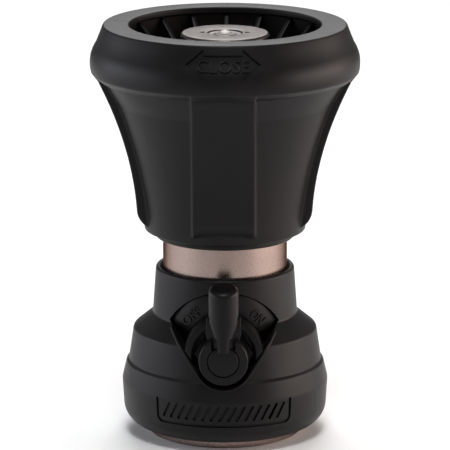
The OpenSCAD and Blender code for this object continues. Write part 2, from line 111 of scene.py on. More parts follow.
def solid(name, points, faces, material):
    """A closed piece from points in millimetres."""
    mesh = bpy.data.meshes.new(name)
    mesh.from_pydata([Vector(p) * MM for p in points], [], faces)
    shape = bmesh.new()
    shape.from_mesh(mesh)
    bmesh.ops.remove_doubles(shape, verts=shape.verts, dist=0.0005 * MM)
    bmesh.ops.recalc_face_normals(shape, faces=shape.faces)
    shape.to_mesh(mesh)
    shape.free()
    mesh.materials.append(material)
    obj = bpy.data.objects.new(name, mesh)
    bpy.context.scene.collection.objects.link(obj)
    keep_edges(obj)
    return obj


def skin(rows, ring=False):
    """Faces over rows of points, each row going once round; a ring's last row meets its first."""
    wide = len(rows[0])
    faces = []
    for i in range(len(rows) if ring else len(rows) - 1):
        a, b = i * wide, (i + 1) % len(rows) * wide
        faces += [(a + k, a + (k + 1) % wide, b + (k + 1) % wide, b + k) for k in range(wide)]
    if not ring:
        faces += [tuple(range(wide)), tuple((len(rows) - 1) * wide + k for k in range(wide))]
    return [p for row in rows for p in row], faces


def rounded(corners, steps=5):
    """An outline through (across, up, round) corners, each eased over its round."""
    line = []
    for i, (across, up, size) in enumerate(corners):
        here = Vector((across, up))
        if not size:
            line.append((across, up))
            continue
        start = here + (Vector(corners[i - 1][:2]) - here).normalized() * size
        end = here + (Vector(corners[(i + 1) % len(corners)][:2]) - here).normalized() * size
        for k in range(steps + 1):
            t = k / steps
            line.append(tuple(start * (1 - t) ** 2 + here * 2 * t * (1 - t) + end * t * t))
    return line


def flare(r0, z0, r1, z1, slope, steps):
    """Points of a flare that starts off at a slope."""
    rise, grow = z1 - z0, r1 - r0
    return [(r0 + slope * rise * i / steps + (grow - slope * rise) * (i / steps) ** 2,
             z0 + rise * i / steps) for i in range(steps + 1)]


def radius_at(outline, z):
    """How far out an outline is at a height, where it only climbs."""
    for (r0, z0), (r1, z1) in zip(outline, outline[1:]):
        if z0 <= z <= z1 and z1 > z0:
            return r0 + (r1 - r0) * (z - z0) / (z1 - z0)
    return outline[0][0] if z < outline[0][1] else outline[-1][0]


def baked(obj):
    """Turns a piece and its modifiers into a plain mesh."""
    graph = bpy.context.evaluated_depsgraph_get()
    obj.data = bpy.data.meshes.new_from_object(obj.evaluated_get(graph), depsgraph=graph)
    obj.modifiers.clear()
    return obj


def carve(obj, *cutters):
    """Cuts pieces out of a piece."""
    for cutter in cutters:
        cut = obj.modifiers.new("cut", "BOOLEAN")
        cut.operation = "DIFFERENCE"
        cut.solver = "EXACT"
        cut.object = cutter
        baked(obj)
        bpy.data.objects.remove(cutter)
    keep_edges(obj)


def settle(obj, body, slot, *nodes):
    """Says which body a piece rides on and which CAD nodes it stands for. The finish given as slot
    is not used.
    """
    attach(obj, body)
    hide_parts(*nodes)


head_low, head_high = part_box("head_cover")
head_foot = head_low.z / MM
rim_z = head_high.z / MM
belt_r = head_high.x / MM
belt_low = rim_z - 15.4
skirt_r = 22.85
mouth_r = belt_r - 11
cup_r = mouth_r + 1.6
cup_floor = rim_z - 16.6
nose_r = 14.25
pad_r = 24.9
pad_half = 8.75
pad_edge = 0.5
pad_fillet = 0.8
pad_foot = 6.0
pad_low = 7.3
pad_crown = 300
pad_drop = 0.24

# outlines as (r, z): the pads' faces, the skirt between them, and the belt, rim and mouth
pad_line = [(20, head_foot)]
for k in (0.96, 0.9, 0.82, 0.72, 0.6, 0.46, 0.3, 0.12):
    pad_line.append((pad_r - pad_foot + sqrt(pad_foot ** 2 - (pad_foot * k) ** 2),
                     head_foot + pad_low - pad_foot * k))
pad_line += flare(pad_r, head_foot + 7.4, belt_r - 2.6, belt_low, 0.076, 26)
skirt_flare = flare(skirt_r + 0.2, head_foot + 2.4, belt_r - 7.3, belt_low - 6.6, 0.07, 12)
recess_line = rounded([
    (skirt_r - 1, head_foot, 0), (skirt_r - 0.1, head_foot + 0.3, 0.3),
    (skirt_r + 0.15, head_foot + 2, 0)]
    + [(r, z, 0) for r, z in skirt_flare]
    + [(belt_r - 6.9, belt_low - 5.8, 0.5), (belt_r - 3.6, belt_low + 0.1, 0)])
belt_line = rounded([
    (belt_r - 2.55, belt_low + 0.2, 0), (belt_r - 0.3, belt_low + 2.1, 0.4),
    (belt_r, belt_low + 3.6, 0.9)]
    + [(r, z, 0) for r, z in flare(belt_r, belt_low + 5, belt_r - 1.7, rim_z - 5.2, 0.0, 6)]
    + [(belt_r - 2.85, rim_z - 2.4, 0), (belt_r - 3.75, rim_z, 0.5), (mouth_r, rim_z, 0.6),
       (mouth_r, rim_z - 1.8, 0.3), (cup_r, rim_z - 2.1, 0.4), (cup_r, cup_floor, 1.2),
       (nose_r + 0.4, cup_floor, 0), (nose_r, cup_floor - 0.4, 0), (nose_r, cup_floor - 2.4, 0),
       (mouth_r + 0.15, cup_floor - 2.4, 0), (mouth_r + 0.15, cup_floor - 6, 0),
       (24.6, cup_floor - 7.6, 0), (20.6, head_foot + 21, 0), (20.6, head_foot, 0)])


def pad_section(z):
    """A quarter of the head's outline at a height, from one skirt's middle to the next."""
    deep, out = radius_at(recess_line, z), radius_at(pad_line, z)
    half = [(out - y * y / pad_crown, y) for y in (0, 2, 4, 6, 7.3, pad_half - pad_edge)]
    half += [(out - pad_drop - pad_edge * (1 - cos(radians(a))),
              pad_half - pad_edge * (1 - sin(radians(a)))) for a in (30, 60, 90)]
    half = [(max(x, sqrt(deep ** 2 - y ** 2)), y) for x, y in half]
    foot = sqrt(deep ** 2 - pad_half ** 2)
    wall_low = max(foot, min(foot + pad_fillet, half[-1][0] - 0.05))
    start = atan2(pad_half, foot) + pad_fillet / deep
    end = (deep * cos(start), deep * sin(start))
    for t in (0, 0.25, 0.5, 0.75):
        half.append((wall_low * (1 - t) ** 2 + foot * 2 * t * (1 - t) + end[0] * t * t,
                     pad_half * ((1 - t) ** 2 + 2 * t * (1 - t)) + end[1] * t * t))
    for k in range(7):
        a = start + (radians(45) - start) * k / 6
        half.append((deep * cos(a), deep * sin(a)))
    return [(x, -y) for x, y in reversed(half[1:])] + half[:-1]


def quarter_turns(section, z):
    """Four copies of a quarter outline, round the axis."""
    turned = []
    for c, s in ((0, -1), (1, 0), (0, 1), (-1, 0)):
        turned += [(x * c - y * s, x * s + y * c, z) for x, y in section]
    return turned


heights = sorted({round(z, 3) for _, z in pad_line + recess_line if head_foot <= z <= belt_low})
head_rows = [quarter_turns(pad_section(z), z) for z in heights]
spokes = [(x / hypot(x, y), y / hypot(x, y)) for x, y, _ in head_rows[-1]]
# the belt starts no further in than the pads' corners reach
reach = [max(belt_line[0][0], hypot(x, y)) for x, y, _ in head_rows[-1]]
head_rows.append([(r * x, r * y, belt_line[0][1]) for (x, y), r in zip(spokes, reach)])
head_rows += [[(r * x, r * y, z) for x, y in spokes] for r, z in belt_line[1:]]
head_cover = solid("head_bumper", *skin(head_rows, ring=True), elastomer)


belt_front = belt_line[:belt_line.index(max(belt_line, key=lambda spot: spot[1])) + 1]


def on_belt(x, z, lift):
    """A point on the front of the belt, lifted off it."""
    r = radius_at(belt_front, z) + lift
    return (x, -sqrt(r * r - x * x), z)


arrow_z = rim_z - 5.1
arrow_tip = 10.2
arrow_neck = 5.4
arrow_bar = 2.6
arrow_head = 4.0
arrow_depth = 0.55


def arrow_half(x):
    """Half the arrow's height at a place along it."""
    x = abs(x)
    if x < arrow_neck + 0.01:
        return arrow_bar
    return arrow_head * (arrow_tip - x) / (arrow_tip - arrow_neck) + 0.02


arrow_steps = [0, 1.3, 2.6, 4, arrow_neck, arrow_neck + 0.03, 6.6, 7.8, 9, arrow_tip]
arrow_rows = []
for x in [-x for x in reversed(arrow_steps[1:])] + arrow_steps:
    half = arrow_half(x)
    levels = [arrow_z + half * k for k in (-1, -0.5, 0, 0.5, 1)]
    arrow_rows.append([on_belt(x, z, -arrow_depth) for z in levels]
                      + [on_belt(x, z, 1.0) for z in reversed(levels)])
pocket = solid("arrow_pocket", *skin(arrow_rows), elastomer)

# the moulding's parting mark, a fine slit across the rim
mark_a = radians(173)
slit = bmesh.new()
bmesh.ops.create_cube(slit, size=1, matrix=Matrix.Rotation(mark_a, 4, "Z")
                      @ Matrix.Translation((29.4 * MM, 0, rim_z * MM))
                      @ Matrix.Diagonal((4.2 * MM, 0.28 * MM, 0.7 * MM, 1)))
slit_mesh = bpy.data.meshes.new("parting_mark")
slit.to_mesh(slit_mesh)
slit.free()
slit_cutter = bpy.data.objects.new("parting_mark", slit_mesh)
bpy.context.scene.collection.objects.link(slit_cutter)
carve(head_cover, pocket, slit_cutter)
settle(head_cover, "head", "black_elastomer", "head_cover")


# ---------------------------------------------------------------------------------------------
# The word in the arrow and, later, on the dial: raised letters moulded with their piece.
# They are plain capitals that say what turning does.

def letters(name, word, wide, high, place, material):
    """A word as a mesh, wide by high, with place() laying each point (u, v, lift 0 to 1)."""
    curve = bpy.data.curves.new(name, "FONT")
    curve.body = word
    curve.extrude = 0.5
    curve.offset = 0.012
    curve.resolution_u = 3
    words = bpy.data.objects.new(name, curve)
    bpy.context.scene.collection.objects.link(words)
    graph = bpy.context.evaluated_depsgraph_get()
    mesh = bpy.data.meshes.new_from_object(words.evaluated_get(graph), depsgraph=graph)
    bpy.data.objects.remove(words)
    low = [min(v.co[i] for v in mesh.vertices) for i in range(3)]
    span = [max(v.co[i] for v in mesh.vertices) - low[i] for i in range(3)]
    for v in mesh.vertices:
        u, w, lift = ((v.co[i] - low[i]) / span[i] for i in range(3))
        v.co = Vector(place((u - 0.5) * wide, (w - 0.5) * high, lift)) * MM
    faces = [tuple(p.vertices) for p in mesh.polygons]
    points = [v.co / MM for v in mesh.vertices]
    made = solid(name, points, faces, material)
    keep_edges(made, 25)
    return made


def on_arrow(u, v, lift):
    """A point of the word, standing on the arrow's floor."""
    return on_belt(u, arrow_z - 0.1 + v, -arrow_depth - 0.2 + lift * 0.62)


close_word = letters("close_word", "CLOSE", 14.4, 3.3, on_arrow, elastomer)
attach(close_word, "head")


# ---------------------------------------------------------------------------------------------
# Ribs of the mouth: thin webs that hold the cup's wall, moulded with the head cover.
# Each runs down from just under the lip to the nozzle, and its top edge is slightly rounded.

def repeated_round(obj, count, step, first, material):
    """Sets copies of a piece round the upright axis, by Geometry Nodes, and bakes them."""
    tree = bpy.data.node_groups.new(obj.name + "_round_axis", "GeometryNodeTree")
    face = tree.interface
    face.new_socket("Geometry", in_out="INPUT", socket_type="NodeSocketGeometry")
    face.new_socket("Geometry", in_out="OUTPUT", socket_type="NodeSocketGeometry")
    ids = {}
    for label, kind in (("Count", "Int"), ("Step", "Float"), ("First", "Float"),
                        ("Finish", "Material")):
        made = face.new_socket(label, in_out="INPUT", socket_type="NodeSocket" + kind)
        ids[label] = made.identifier
    inlet = add(tree, "NodeGroupInput").outputs
    spots = add(tree, "GeometryNodeMeshLine", {"Count": inlet["Count"], "Offset": (0, 0, 0)})
    index = add(tree, "GeometryNodeInputIndex").outputs["Index"]
    angle = add(tree, "ShaderNodeMath", {0: index, 1: inlet["Step"], 2: inlet["First"]},
                operation="MULTIPLY_ADD")
    turn = add(tree, "ShaderNodeCombineXYZ", {"Z": angle.outputs["Value"]})
    copies = add(tree, "GeometryNodeInstanceOnPoints", {
        "Points": spots.outputs["Mesh"], "Instance": inlet["Geometry"],
        "Rotation": turn.outputs["Vector"]})
    real = add(tree, "GeometryNodeRealizeInstances", {"Geometry": copies.outputs["Instances"]})
    done = add(tree, "GeometryNodeSetMaterial", {
        "Geometry": real.outputs["Geometry"], "Material": inlet["Finish"]})
    add(tree, "NodeGroupOutput", {"Geometry": done.outputs["Geometry"]})
    nodes = obj.modifiers.new("round the axis", "NODES")
    nodes.node_group = tree
    for label, value in (("Count", count), ("Step", step), ("First", first), ("Finish", material)):
        nodes[ids[label]] = value
    baked(obj)
    keep_edges(obj)


rib_count = 18
rib_half = 0.72
rib_line = [(cup_r + 0.4, rim_z - 1.95), (cup_r - 0.4, rim_z - 2.05),
            (nose_r + 0.7, cup_floor + 0.7), (nose_r + 0.7, cup_floor - 0.3),
            (cup_r + 0.4, cup_floor - 0.3)]


def rib_row(y, inset):
    """The rib's outline at one depth of its thickness, drawn in along its open edges."""
    return [(r, y, z - (inset if i in (0, 1, 2) else 0)) for i, (r, z) in enumerate(rib_line)]


rib = solid("mouth_ribs", *skin([
    rib_row(-rib_half, 0.25), rib_row(-rib_half + 0.22, 0.04), rib_row(0, 0),
    rib_row(rib_half - 0.22, 0.04), rib_row(rib_half, 0.25)]), elastomer)
repeated_round(rib, rib_count, 2 * pi / rib_count, pi / 2, elastomer)
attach(rib, "head")


# ---------------------------------------------------------------------------------------------
# Barrel, guide ring and the head's O-ring. The barrel is turned from aluminium and anodised;
# its nose shows in the mouth. The guide ring is black acetal and shows as the dark lip
# under the head's skirt.

def metal(name, colour, darker, roughness, cloud_mm, grain_mm, grain_depth_mm, edge="#ffffff"):
    """A plain metal finish: its own colour, faint clouding, and a fine blasted or cast grain.
    The edge colour is what it takes on where it is seen at a slant."""
    material = bpy.data.materials.new(name)
    material.use_nodes = True
    tree = material.node_tree
    tree.nodes.clear()
    place = add(tree, "ShaderNodeTexCoord").outputs["Object"]
    clouds = add(tree, "ShaderNodeTexNoise",
                 {"Vector": place, "Scale": 1 / (cloud_mm * MM), "Detail": 3.0})
    grain = add(tree, "ShaderNodeTexNoise",
                {"Vector": place, "Scale": 1 / (grain_mm * MM), "Detail": 2.0})
    tint = add(tree, "ShaderNodeValToRGB", {"Fac": clouds.outputs["Fac"]})
    tint.color_ramp.elements[0].position = 0.3
    tint.color_ramp.elements[0].color = linear(darker)
    tint.color_ramp.elements[1].position = 0.7
    tint.color_ramp.elements[1].color = linear(colour)
    gloss = add(tree, "ShaderNodeMapRange", {
        "Value": grain.outputs["Fac"], "To Min": roughness - 0.05, "To Max": roughness + 0.05})
    relief = add(tree, "ShaderNodeBump", {
        "Height": grain.outputs["Fac"], "Strength": 1.0, "Distance": grain_depth_mm * MM})
    shader = add(tree, "ShaderNodeBsdfPrincipled", {
        "Base Color": tint.outputs["Color"], "Metallic": 1.0, "Roughness": gloss.outputs["Result"],
        "Specular Tint": linear(edge), "Normal": relief.outputs["Normal"]})
    add(tree, "ShaderNodeOutputMaterial", {"Surface": shader.outputs["BSDF"]})
    return material


# Aluminium, bead blasted and anodised champagne: an even, soft metallic sheen. The dyed oxide
# is seen through at a slant, so the edges go darker.
champagne = metal("champagne anodised aluminium", "#ab9890", "#a3918a",
                  0.27, 9, 0.3, 0.0005, "#453e3c")
# Acetal comes smooth and black from the tool, a little glossier than the elastomer.
acetal = moulded("black acetal, moulded", "#0d0d0d", "#121212", 0.42, 0.5, 0.004)
nitrile = moulded("black nitrile rubber", "#131313", "#1a1a1a", 0.5, 0.4, 0.006)


def finish_node(node, material):
    """Gives a CAD node the finish of the real piece."""
    for held in bpy.data.objects[node].material_slots:
        held.material = material


def spun(name, outline, material, steps=192):
    """A closed outline of (r, z) turned round the upright axis."""
    rows = [[(r * cos(2 * pi * k / steps), r * sin(2 * pi * k / steps), z) for k in range(steps)]
            for r, z in outline]
    return solid(name, *skin(rows, ring=True), material)


neck_r = 17.6
ring_low, ring_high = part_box("guide_ring")
guide = spun("guide_lip", rounded([
    (neck_r + 0.1, ring_low.z / MM, 0.2), (ring_high.x / MM, ring_low.z / MM, 0.6),
    (ring_high.x / MM, ring_high.z / MM - 3, 0.2), (18.9, ring_high.z / MM - 3, 0),
    (18.9, ring_high.z / MM, 0.2), (neck_r + 0.1, ring_high.z / MM, 0.2)]), acetal)
settle(guide, "carriage", "black_acetal", "guide_ring")
finish_node("head_barrel", champagne)
finish_node("head_o_ring", nitrile)


# ---------------------------------------------------------------------------------------------
# Valve body: a turned casting that holds the ball and whose upper end is the bare neck.
# It is blasted and anodised champagne; the neck's edges are broken, not sharp. A pocket behind
# the cover's window leaves room for the dial and the lever's hub.
pivot_z = 27.4
pocket_y = 18.0
body_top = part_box("valve_body")[1].z / MM
valve_body = spun("valve_body_and_neck", rounded([
    (16.85, 3.35, 0), (24.7, 3.35, 0), (24.7, 15, 0), (23.5, 21, 0), (22.1, 29.5, 0),
    (neck_r, 34, 0), (neck_r, body_top, 0.6), (13.8, body_top, 0.4), (13.8, 48.2, 0),
    (7.5, 41.7, 0), (7.5, 38.7, 0), (13, 38.7, 0), (13, 16.1, 0), (16.85, 16.1, 0)]), champagne)

window_r = 8.4
dial_r = 17.2
window_tilt = radians(34)
lining_t = 1.15
side_steps = 16
top_steps = 28


def arc(r, start, sweep, steps):
    """Points of an arc about the pivot."""
    return [(r * cos(a), r * sin(a)) for a in (start + sweep * k / steps for k in range(steps + 1))]


def window_outline(shrink=0.0):
    """The cover's window round the lever's pivot, as (x, z) about the pivot: the upper arc from
    right to left, the left side, the lower arc, and the right side."""
    small, large = window_r - shrink, dial_r - shrink
    run = sqrt(large ** 2 - small ** 2)
    side = []
    for k in range(side_steps + 1):
        along = run * k / side_steps
        side.append((small * cos(window_tilt) + along * sin(window_tilt),
                     along * cos(window_tilt) - small * sin(window_tilt)))
    top = atan2(side[-1][1], side[-1][0])
    return (arc(large, top, pi - 2 * top, top_steps) + [(-x, z) for x, z in reversed(side[:-1])]
            + arc(small, pi + window_tilt, pi - 2 * window_tilt, 24)[1:-1] + side[:-1])


def front_prism(name, outline, back, front, material):
    """A straight-sided solid from an outline seen from the front, between two depths."""
    rows = [[(x, -y, pivot_z + z) for x, z in outline] for y in (back, front)]
    return solid(name, *skin(rows), material)


def side_point(z, shrink):
    """Where the window's right side is at a height."""
    small = window_r - shrink
    run = (z + small * sin(window_tilt)) / cos(window_tilt)
    return small * cos(window_tilt) + run * sin(window_tilt)


def step_outline(shrink):
    """The part of the window that is under the dial's face."""
    low, high = 0.5 - shrink, 8.5
    return [(side_point(low, shrink), low), (side_point(high, shrink), high),
            (-side_point(high, shrink), high), (-side_point(low, shrink), low)]


def plate(name, outline, back, front, material, edge, cuts=()):
    """A plate with broken front edges, from an outline of (x, z) about the pivot. Its back and
    front are depths, or functions of a point's x and z."""
    depth = [d if callable(d) else (lambda x, z, d=d: d) for d in (back, front)]
    shape = bmesh.new()
    shape.faces.new([shape.verts.new((x, 0, z)) for x, z in outline])
    for x in cuts:
        everything = shape.verts[:] + shape.edges[:] + shape.faces[:]
        bmesh.ops.bisect_plane(shape, geom=everything, plane_co=(x, 0, 0), plane_no=(1, 0, 0),
                               dist=0.001)
    made = bmesh.ops.extrude_face_region(shape, geom=shape.faces[:])["geom"]
    outer = {v for v in made if isinstance(v, bmesh.types.BMVert)}
    for v in shape.verts:
        x, z = v.co.x, v.co.z
        v.co = (x, -depth[v in outer](x, z), pivot_z + z)
    bmesh.ops.recalc_face_normals(shape, faces=shape.faces)
    rim = [e for e in shape.edges if e.verts[0] in outer and e.verts[1] in outer
           and e.calc_face_angle(0) > radians(50)]
    bmesh.ops.bevel(shape, geom=rim, offset=edge, segments=2, profile=0.5, affect="EDGES",
                    clamp_overlap=True)
    shape.verts.index_update()
    points = [v.co.copy() for v in shape.verts]
    faces = [tuple(v.index for v in f.verts) for f in shape.faces]
    shape.free()
    return solid(name, points, faces, material)


pocket_front = 32
pocket_room = lining_t + 0.05
step_r = 17.7
body_pocket = front_prism("body_pocket", window_outline(-pocket_room), pocket_y, pocket_front,
                          champagne)
step_pocket = plate("step_pocket", step_outline(-pocket_room),
                    lambda x, z: sqrt(step_r ** 2 - x * x), lambda x, z: pocket_front,
                    champagne, 0.02, range(-15, 16, 1))
carve(valve_body, body_pocket, step_pocket)
settle(valve_body, "body", "champagne_aluminium", "valve_body")


# ---------------------------------------------------------------------------------------------
# Inlet connector: the turned and anodised ring that the nozzle stands on, with a hose thread
# inside. The thread is 11.5 turns an inch, cut in the bore, and the washer lies at its end.
foot_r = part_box("inlet_connector")[1].x / MM
connector = spun("hose_connector", rounded([
    (14.5, 0, 0.2), (foot_r, 0, 0.6), (foot_r, 3.4, 0), (16.8, 3.4, 0), (16.8, 11.5, 0),
    (15, 11.5, 0), (15, 13.8, 0), (16.8, 13.8, 0), (16.8, 16.05, 0), (7.5, 16.05, 0),
    (7.5, 12.9, 0), (12.95, 12.9, 0), (12.95, 10.5, 0), (13.6, 10.5, 0), (13.6, 0.9, 0)]), champagne)
settle(connector, "body", "champagne_aluminium", "inlet_connector")


def swept(obj, material, make_path, section):
    """Sweeps a small section along a path, by Geometry Nodes, and bakes it."""
    tree = bpy.data.node_groups.new(obj.name + "_sweep", "GeometryNodeTree")
    face = tree.interface
    face.new_socket("Geometry", in_out="INPUT", socket_type="NodeSocketGeometry")
    face.new_socket("Geometry", in_out="OUTPUT", socket_type="NodeSocketGeometry")
    width = face.new_socket("Width", in_out="INPUT", socket_type="NodeSocketFloat").identifier
    finish = face.new_socket("Finish", in_out="INPUT", socket_type="NodeSocketMaterial").identifier
    inlet = add(tree, "NodeGroupInput").outputs
    path = make_path(tree, inlet)
    upright = add(tree, "GeometryNodeSetCurveNormal", {"Curve": path}, mode="Z_UP")
    outline = add(tree, "GeometryNodeCurvePrimitiveCircle", {
        "Resolution": section[0], "Radius": inlet["Width"]}, mode="RADIUS")
    tube = add(tree, "GeometryNodeCurveToMesh", {
        "Curve": upright.outputs["Curve"], "Profile Curve": outline.outputs["Curve"],
        "Fill Caps": True})
    real = add(tree, "GeometryNodeRealizeInstances", {"Geometry": tube.outputs["Mesh"]})
    done = add(tree, "GeometryNodeSetMaterial", {
        "Geometry": real.outputs["Geometry"], "Material": inlet["Finish"]})
    add(tree, "NodeGroupOutput", {"Geometry": done.outputs["Geometry"]})
    nodes = obj.modifiers.new("sweep", "NODES")
    nodes.node_group = tree
    nodes[width] = section[1] * MM
    nodes[finish] = material
    baked(obj)
    keep_edges(obj)


thread_pitch = 25.4 / 11.5
thread_turns = 3.6
thread_r = 13.45
thread_foot = 1.7


def thread_path(tree, inlet):
    """The helix of the thread's ridge, from the washer down to the mouth."""
    spiral = add(tree, "GeometryNodeCurveSpiral", {
        "Resolution": 64, "Rotations": thread_turns, "Start Radius": thread_r * MM,
        "End Radius": thread_r * MM, "Height": thread_turns * thread_pitch * MM})
    lifted = add(tree, "GeometryNodeTransform", {
        "Geometry": spiral.outputs["Curve"], "Translation": (0, 0, thread_foot * MM)})
    return lifted.outputs["Geometry"]


thread = bpy.data.objects.new("hose_thread", bpy.data.meshes.new("hose_thread"))
bpy.context.scene.collection.objects.link(thread)
swept(thread, champagne, thread_path, (6, 0.75))
settle(thread, "body", "champagne_aluminium")
finish_node("hose_washer", nitrile)
finish_node("connector_o_ring", nitrile)


# ---------------------------------------------------------------------------------------------
# Base cover: the elastomer moulded over the valve body, from the foot ring up to a collar
# round the neck. A window in front shows the dial, and a sunken frame on the belt holds a row
# of plain slanted grooves where a name would be.
cover_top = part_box("base_cover")[1].z / MM
base_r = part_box("base_cover")[1].x / MM
collar_r = neck_r + 2.0
cover_line = rounded([
    (22.15, 2.2, 0)] + [(base_r - 6.4 + 6 * sin(a), 8.2 - 6 * cos(a), 0)
                        for a in (radians(10 + 7.5 * k) for k in range(11))] + [
    (base_r, 15, 0.6), (base_r - 1.2, 20.2, 0.3), (base_r - 1.9, 20.9, 0.25),
    (base_r - 3.25, 30, 0.5), (collar_r + 0.95, 34.5, 0.5), (collar_r, cover_top, 0.9),
    (neck_r + 0.9, cover_top, 0.4), (neck_r + 0.05, cover_top - 0.7, 0), (neck_r + 0.05, 34.05, 0),
    (22.15, 29.55, 0), (23.55, 21, 0), (24.75, 15, 0), (24.75, 3.4, 0), (22.15, 3.4, 0)])
cover = spun("base_bumper", cover_line, elastomer, 240)


cover_front = cover_line[1:cover_line.index(max(cover_line, key=lambda spot: spot[1])) + 1]


def on_cover(angle, z, lift):
    """A point on the cover's outside, lifted off it, at an angle from the front."""
    r = radius_at(cover_front, z) + lift
    return (r * sin(angle), -r * cos(angle), z)


groove_half = 0.42
groove_depth = 0.6
frame_a = radians(39.4)
frame_low = 8.4
frame_high = 15.2
frame_round = 1.6


def groove(name, path):
    """A cutter for a groove along a path of (angle, z) over the cover."""
    rows = []
    for i, (a, z) in enumerate(path):
        before, after = path[max(i - 1, 0)], path[min(i + 1, len(path) - 1)]
        along = Vector(((after[0] - before[0]) * base_r, after[1] - before[1])).normalized()
        da, dz = -along.y * groove_half / base_r, along.x * groove_half
        rows.append([on_cover(a + side * da, z + side * dz, lift) for side, lift in
                     ((-1, -groove_depth), (1, -groove_depth), (1, 1.0), (-1, 1.0))])
    return solid(name, *skin(rows), elastomer)


def frame_path():
    """One half of the frame, from its open upper end to the middle of the front."""
    bend = [(-frame_a + (frame_round - frame_round * cos(t)) / base_r,
             frame_low + frame_round - frame_round * sin(t))
            for t in (radians(15 * k) for k in range(7))]
    return [(-frame_a, frame_high)] + bend + [(radians(a), frame_low) for a in range(-34, 1, 2)]


left = frame_path()
frame_cut = groove("frame_groove", left + [(-a, z) for a, z in reversed(left[:-1])])
window_cut = front_prism("window", window_outline(), 10, 32, elastomer)

slot_count = 15
slot_step = radians(4.73)
slot_lean = radians(2.3)
slot_low = 9.9
slot_tall = 4.3
slots = groove("panel_slots", [(slot_lean * (k / 4 - 0.5) * 2, slot_low + slot_tall * k / 4)
                               for k in range(5)])
repeated_round(slots, slot_count, slot_step, -slot_step * (slot_count - 1) / 2, elastomer)
carve(cover, window_cut, frame_cut, slots)
settle(cover, "body", "black_elastomer", "base_cover")

# the rubber also lines the pocket behind the window; carried back past the pocket's floor, its black
# walls are also painted shade that keeps the window's depth dark
painted_shade_lining_back = 14.5
lining_rows = []
for shrink, at_front in ((-0.02, True), (-0.02, False), (-lining_t, False), (-lining_t, True)):
    row = []
    for x, z in window_outline(shrink):
        r = min(radius_at(cover_front, pivot_z + z) - 0.9, 27.5)
        front = sqrt(max(r * r - x * x, 0))
        row.append((x, -front if at_front else -min(painted_shade_lining_back, front - 0.1), pivot_z + z))
    lining_rows.append(row)
lining = solid("window_lining", *skin(lining_rows, ring=True), elastomer)
settle(lining, "body", "black_elastomer")


def lip_path(tree, inlet):
    """The window's edge: the piece's own line of points, as a curve."""
    return add(tree, "GeometryNodeMeshToCurve", {"Mesh": inlet["Geometry"]}).outputs["Curve"]


# the window's rolled edge, a thin bead moulded with the cover; it ends short of the upper corners
bead_r = 0.45
bead_mesh = bpy.data.meshes.new("window_bead")
spaced = []
for x, z in window_outline(-bead_r)[top_steps + 2:-2]:
    r = radius_at(cover_front, pivot_z + z) - 0.1
    spaced.append((x, -sqrt(r * r - x * x), pivot_z + z))
bead_mesh.from_pydata([Vector(p) * MM for p in spaced],
                      [(i, i + 1) for i in range(len(spaced) - 1)], [])
bead = bpy.data.objects.new("window_bead", bead_mesh)
bpy.context.scene.collection.objects.link(bead)
swept(bead, elastomer, lip_path, (12, bead_r))
settle(bead, "body", "black_elastomer")


# ---------------------------------------------------------------------------------------------
# Dial plate: black glass-filled nylon, snapped in behind the lever and held by the gland nut.
# Its face follows the collar, an arch stands up round the lever's hub, and OFF and ON are
# raised on the face.
nylon = moulded("black nylon, moulded", "#080708", "#0d0c0c", 0.4, 0.5, 0.006)


dial_out = neck_r + 1.9
dial_gap = 0.3
dial_t = 1.3
dial_floor = 6.2
fan_low = 4.9
arch_in = window_r + 0.5
arch_out = arch_in + 2.1


def dial_face(x, z):
    """How far out the dial's face is."""
    return sqrt(dial_out ** 2 - x * x)


fan_x = side_point(dial_floor, dial_gap)
arch_a = atan2(fan_low, sqrt(arch_out ** 2 - fan_low ** 2))
fan = ([(fan_x, dial_floor)] + window_outline(dial_gap)[:top_steps + 1] + [(-fan_x, dial_floor)]
       + arc(arch_out, pi - arch_a, 2 * arch_a - pi, 16))
dial = plate("dial_face", fan, lambda x, z: dial_face(x, z) - dial_t, dial_face, nylon, 0.22,
             range(-14, 15, 1))
settle(dial, "body", "black_nylon", "dial_plate")


def arch_angle(r):
    """Where a circle about the pivot meets the window's side."""
    return acos((window_r - dial_gap) / r) - window_tilt


low_out, low_in = arch_angle(arch_out), arch_angle(arch_in)
arch_line = (arc(arch_out, low_out, pi - 2 * low_out, 30)
             + arc(arch_in, pi - low_in, 2 * low_in - pi, 30))
arch = plate("dial_arch", arch_line, pocket_y + 0.3, pocket_y + 6.4, nylon, 0.75)
settle(arch, "body", "black_nylon")

# behind the hub the plate is flat, and under the face a thin step follows the neck; both are black
# sheets of painted shade that keep the bright casting out of sight in the window's depth
back_gap = 0.03
back_r = window_r - back_gap
flat_r = arch_in + 1
flat_a = acos(back_r / flat_r) - window_tilt
flat_line = (arc(flat_r, flat_a, pi - 2 * flat_a, 30)
             + arc(back_r, pi + window_tilt, pi - 2 * window_tilt, 20))
back_shade_sheet = plate("dial_back", flat_line, pocket_y + 0.05, pocket_y + 1.15, nylon, 0.15)
settle(back_shade_sheet, "body", "black_nylon")
step_shade_sheet = plate("dial_step", step_outline(back_gap),
                   lambda x, z: sqrt((step_r + 0.05) ** 2 - x * x),
                   lambda x, z: sqrt((step_r + 0.8) ** 2 - x * x), nylon, 0.1, range(-14, 15, 1))
settle(step_shade_sheet, "body", "black_nylon")

word_r = 13.4
word_high = 2.7
for name, word, wide, lean in (("off_word", "OFF", 6.2, 44), ("on_word", "ON", 4.4, -45)):
    tilt = radians(lean)
    spot = Vector((-word_r * sin(tilt), word_r * cos(tilt)))

    def on_dial(u, v, lift):
        """A point of the word, set square to its own radius."""
        x = spot.x + u * cos(tilt) - v * sin(tilt)
        z = spot.y + u * sin(tilt) + v * cos(tilt)
        return (x, -dial_face(x, z) + 0.2 - 0.6 * lift, pivot_z + z)

    raised = letters(name, word, wide, word_high, on_dial, nylon)
    settle(raised, "body", "black_nylon")


